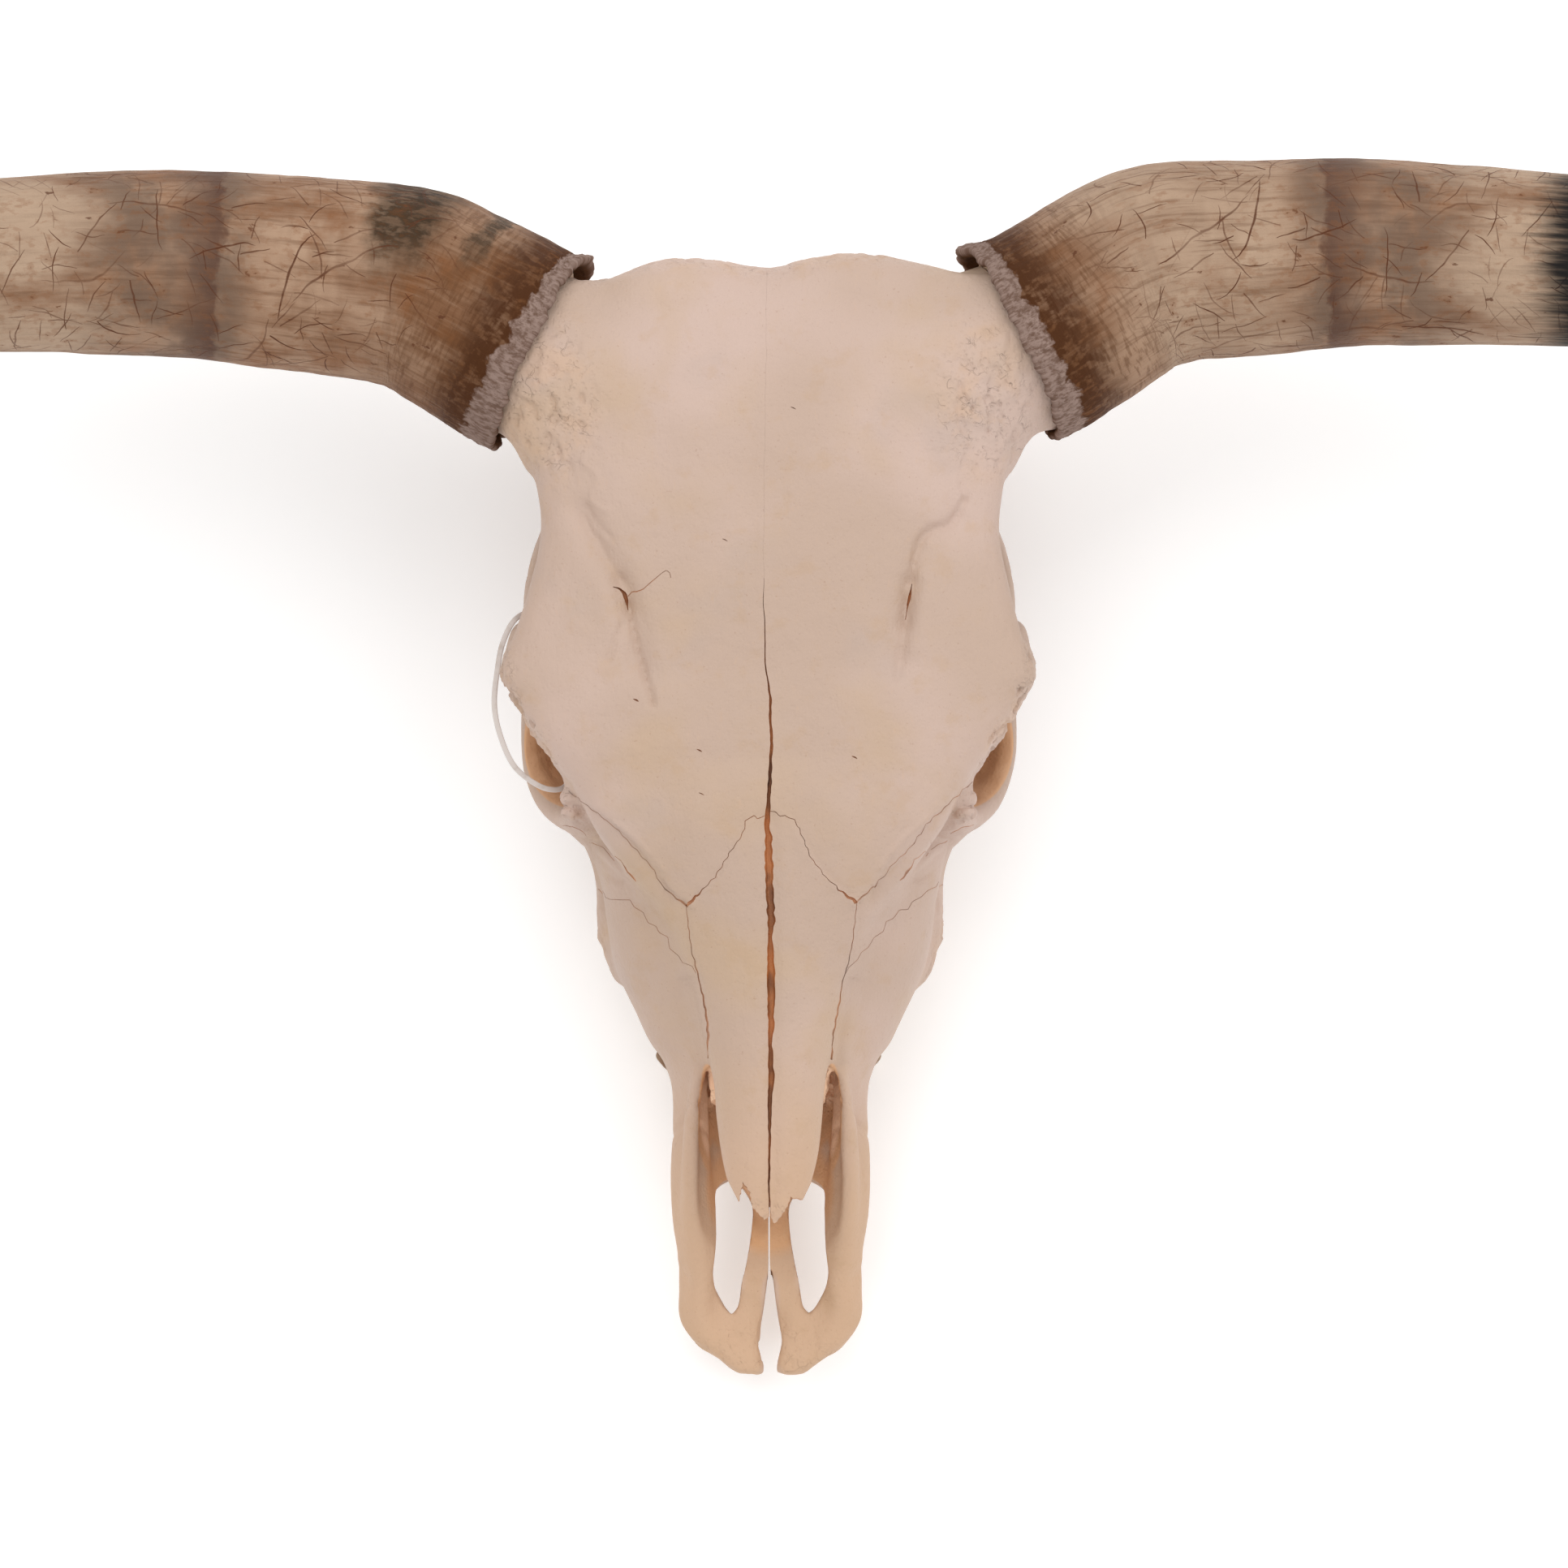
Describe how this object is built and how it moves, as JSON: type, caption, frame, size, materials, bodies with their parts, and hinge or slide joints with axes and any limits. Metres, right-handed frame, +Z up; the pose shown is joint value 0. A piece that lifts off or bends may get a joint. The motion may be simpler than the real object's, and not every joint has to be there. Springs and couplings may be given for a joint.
{
  "type": "bull skull",
  "caption": "Life-size bull skull with long curved horns and no lower jaw, lying face up on its cheek teeth, its bones parted along the sutures.",
  "frame": {"origin": "bottom centre of the bounding box, on the surface that the skull lies on", "axes": "+X towards the right horn of the picture, +Y towards the poll, -Y towards the nose, +Z up out of the forehead"},
  "size_m": [1.2526, 0.5668, 0.3586],
  "materials": {
    "bone": "dry weathered bone, pale pinkish beige with warm tan stains",
    "core_bone": "porous brownish bone",
    "horn": "tan and brown horn with growth rings, scratches and black tips",
    "tooth": "cream enamel with brown cement",
    "nylon": "off-white nylon strip"
  },
  "bodies": {
    "root": {"braincase": "bone", "occipital": "bone", "skull_base": "bone", "frontal_left": "bone", "frontal_right": "bone", "horn_core_left": "core_bone", "horn_core_right": "core_bone", "horn_sheath_left": "horn", "horn_sheath_right": "horn", "zygomatic_left": "bone", "zygomatic_right": "bone", "lacrimal_left": "bone", "lacrimal_right": "bone", "maxilla_left": "bone", "maxilla_right": "bone", "nasal_left": "bone", "nasal_right": "bone", "premaxilla_left": "bone", "premaxilla_right": "bone", "cheek_teeth_left": "tooth", "cheek_teeth_right": "tooth", "orbit_tie": "nylon"}
  },
  "joints": []
}
